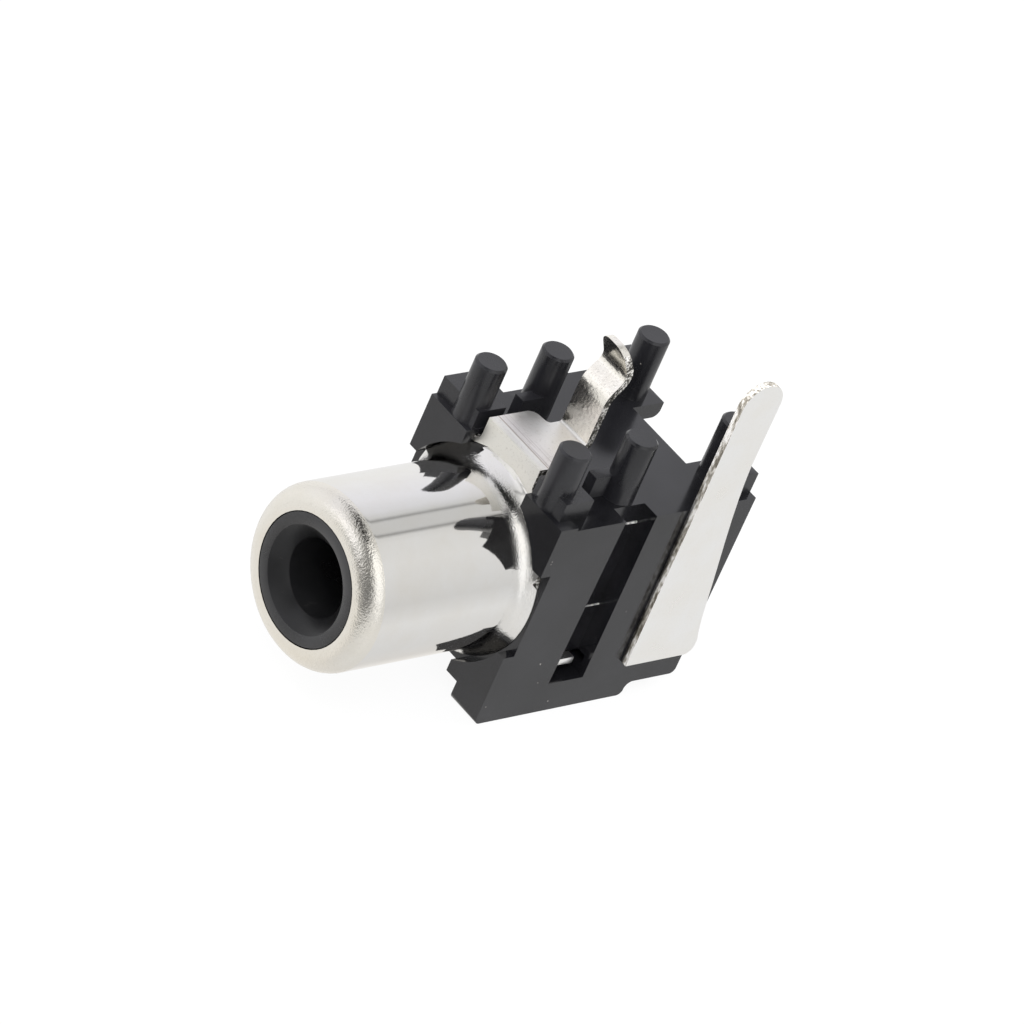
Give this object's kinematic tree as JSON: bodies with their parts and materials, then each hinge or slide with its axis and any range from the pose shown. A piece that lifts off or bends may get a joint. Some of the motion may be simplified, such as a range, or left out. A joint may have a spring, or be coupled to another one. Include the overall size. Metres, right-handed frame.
{
  "type": "rca socket",
  "caption": "Right-angle phono (RCA) socket for a circuit board: plated barrel with folded ground strap and snap-in tail, black housing with locating pegs, flat signal blade.",
  "frame": {"origin": "on the barrel's axis, where the shell's flange rests against the housing", "axes": "-Y out of the barrel's mouth, +Z towards the circuit board, +X to the side with the signal blade"},
  "size_m": [0.0098, 0.0204, 0.0176],
  "materials": {
    "black_plastic": "moulded, slight gloss",
    "nickel": "bright plated, drawn",
    "black_insert": "moulded, satin",
    "tin": "plated sheet, satin"
  },
  "bodies": {
    "root": {"housing": "black_plastic", "shell": "nickel", "insulator": "black_insert", "signal_terminal": "tin"}
  },
  "joints": []
}
